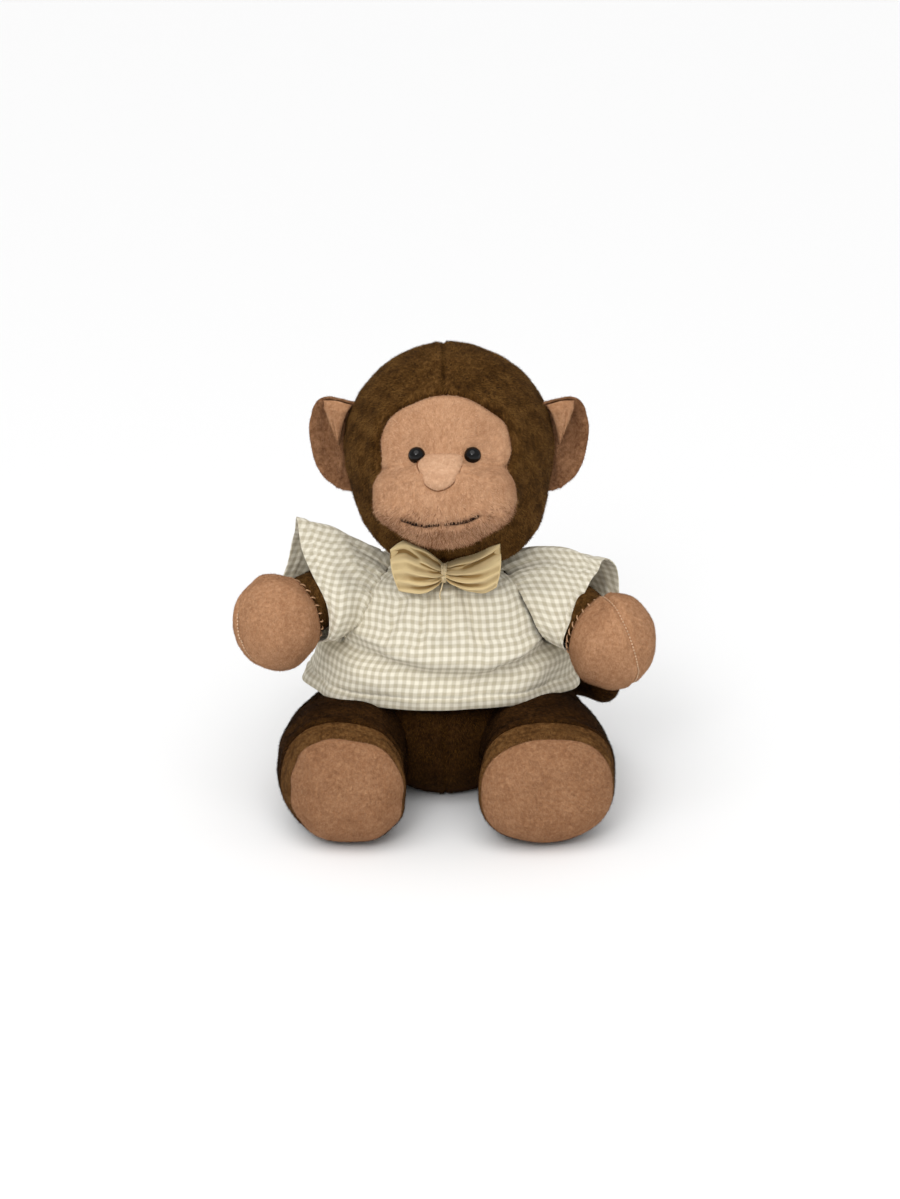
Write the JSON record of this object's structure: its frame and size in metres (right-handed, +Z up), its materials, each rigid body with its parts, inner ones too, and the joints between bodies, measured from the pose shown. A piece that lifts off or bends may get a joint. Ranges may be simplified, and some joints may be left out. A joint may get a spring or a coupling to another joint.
{
  "type": "stuffed toy monkey",
  "caption": "Seated plush monkey with turning head, swinging limbs, foldable ears and a tail, wearing a short-sleeved checked shirt and a bow tie.",
  "frame": {"origin": "centre of the flat seat panel, on the surface that the toy sits on", "axes": "+Z up through the head, the toy faces -Y, +X is on the right for a viewer in front of it"},
  "size_m": [0.2064, 0.1504, 0.231],
  "materials": {
    "brown_plush": "short dark brown pile",
    "instep_plush": "short mid-brown pile",
    "face_plush": "short tan pile",
    "nose_plush": "short pale tan pile",
    "hand_plush": "short tan pile",
    "sole_plush": "ribbed tan pile",
    "ear_plush": "short tan pile",
    "fibre_filling": "loose polyester fibre",
    "pellet_bag": "woven bag of plastic pellets",
    "gingham_cotton": "small beige check on off-white cotton",
    "closure_tape": "woven hook and loop tape",
    "bow_cotton": "plain cream cotton",
    "cream_thread": "sewing thread",
    "dark_thread": "thick sewing thread",
    "tan_thread": "thick sewing thread",
    "eye_plastic": "polished black",
    "washer_plastic": "plain moulded"
  },
  "bodies": {
    "torso": {"torso_skin_left": "brown_plush", "torso_skin_right": "brown_plush", "seat_panel": "brown_plush", "torso_stuffing": "fibre_filling", "bean_bag": "pellet_bag", "shirt_front": "gingham_cotton", "shirt_back_left": "gingham_cotton", "shirt_back_right": "gingham_cotton", "shirt_neckband": "gingham_cotton", "sleeve_left": "gingham_cotton", "sleeve_right": "gingham_cotton", "closure_loop_tape": "closure_tape", "closure_hook_tape": "closure_tape"},
    "bow_tie": {"bow_tie_fabric": "bow_cotton", "bow_tie_thread": "cream_thread"},
    "neck": {"neck_seam": "dark_thread"},
    "head": {"head_skin_left": "brown_plush", "head_skin_right": "brown_plush", "face_panel": "face_plush", "muzzle_panel": "face_plush", "mouth_stitching": "dark_thread", "nose_pad": "nose_plush", "head_stuffing": "fibre_filling", "eye_left": "eye_plastic", "eye_right": "eye_plastic", "eye_washer_left": "washer_plastic", "eye_washer_right": "washer_plastic"},
    "ear_left": {"ear_left_front": "ear_plush", "ear_left_back": "ear_plush"},
    "ear_right": {"ear_right_front": "ear_plush", "ear_right_back": "ear_plush"},
    "arm_left": {"arm_left_skin": "brown_plush", "hand_left_palm": "hand_plush", "hand_left_back": "hand_plush", "arm_left_stuffing": "fibre_filling", "wrist_left_stitches": "tan_thread"},
    "arm_right": {"arm_right_skin": "brown_plush", "hand_right_palm": "hand_plush", "hand_right_back": "hand_plush", "arm_right_stuffing": "fibre_filling", "wrist_right_stitches": "tan_thread"},
    "leg_left": {"leg_left_upper": "brown_plush", "leg_left_instep": "instep_plush", "leg_left_sole": "sole_plush", "leg_left_stuffing": "fibre_filling"},
    "leg_right": {"leg_right_upper": "brown_plush", "leg_right_instep": "instep_plush", "leg_right_sole": "sole_plush", "leg_right_stuffing": "fibre_filling"},
    "tail": {"tail_skin": "brown_plush", "tail_stuffing": "fibre_filling"}
  },
  "joints": [
    {"name": "head_turn", "type": "hinge", "parent": "torso", "child": "neck", "pos_m": [0.001, 0.008, 0.124], "axis": [0, 0, 1], "range_deg": [-25, 25], "stiffness_Nm_per_rad": 0.15},
    {"name": "head_nod", "type": "hinge", "parent": "neck", "child": "head", "pos_m": [0.001, 0.008, 0.124], "axis": [-1, 0, 0], "range_deg": [0, 9], "stiffness_Nm_per_rad": 0.3},
    {"name": "shoulder_left", "type": "hinge", "parent": "torso", "child": "arm_left", "pos_m": [-0.041, 0.012, 0.113], "axis": [-0.7198, 0.6941, 0], "range_deg": [-10, 45], "stiffness_Nm_per_rad": 0.3, "deforming": ["sleeve_left"]},
    {"name": "shoulder_right", "type": "hinge", "parent": "torso", "child": "arm_right", "pos_m": [0.041, 0.012, 0.113], "axis": [-0.7198, -0.6941, 0], "range_deg": [-10, 45], "stiffness_Nm_per_rad": 0.3, "deforming": ["sleeve_right"]},
    {"name": "hip_left", "type": "hinge", "parent": "torso", "child": "leg_left", "pos_m": [-0.042, -0.002, 0.029], "axis": [0, 0, -1], "range_deg": [-6, 20], "stiffness_Nm_per_rad": 0.3},
    {"name": "hip_right", "type": "hinge", "parent": "torso", "child": "leg_right", "pos_m": [0.042, -0.002, 0.029], "axis": [0, 0, 1], "range_deg": [-6, 20], "stiffness_Nm_per_rad": 0.3},
    {"name": "ear_left_fold", "type": "hinge", "parent": "head", "child": "ear_left", "pos_m": [-0.047, 0.005, 0.183], "axis": [0, 0, -1], "range_deg": [-20, 10], "stiffness_Nm_per_rad": 0.02},
    {"name": "ear_right_fold", "type": "hinge", "parent": "head", "child": "ear_right", "pos_m": [0.051, 0.005, 0.183], "axis": [0, 0, 1], "range_deg": [-20, 10], "stiffness_Nm_per_rad": 0.02},
    {"name": "tail_swing", "type": "hinge", "parent": "torso", "child": "tail", "pos_m": [0.02, 0.052, 0.024], "axis": [0, 0, 1], "range_deg": [-12, 12], "stiffness_Nm_per_rad": 0.05},
    {"name": "bow_tie_twist", "type": "hinge", "parent": "torso", "child": "bow_tie", "pos_m": [-0.0005, -0.031, 0.131], "axis": [0, 1, 0], "range_deg": [-10, 10], "stiffness_Nm_per_rad": 0.01}
  ]
}
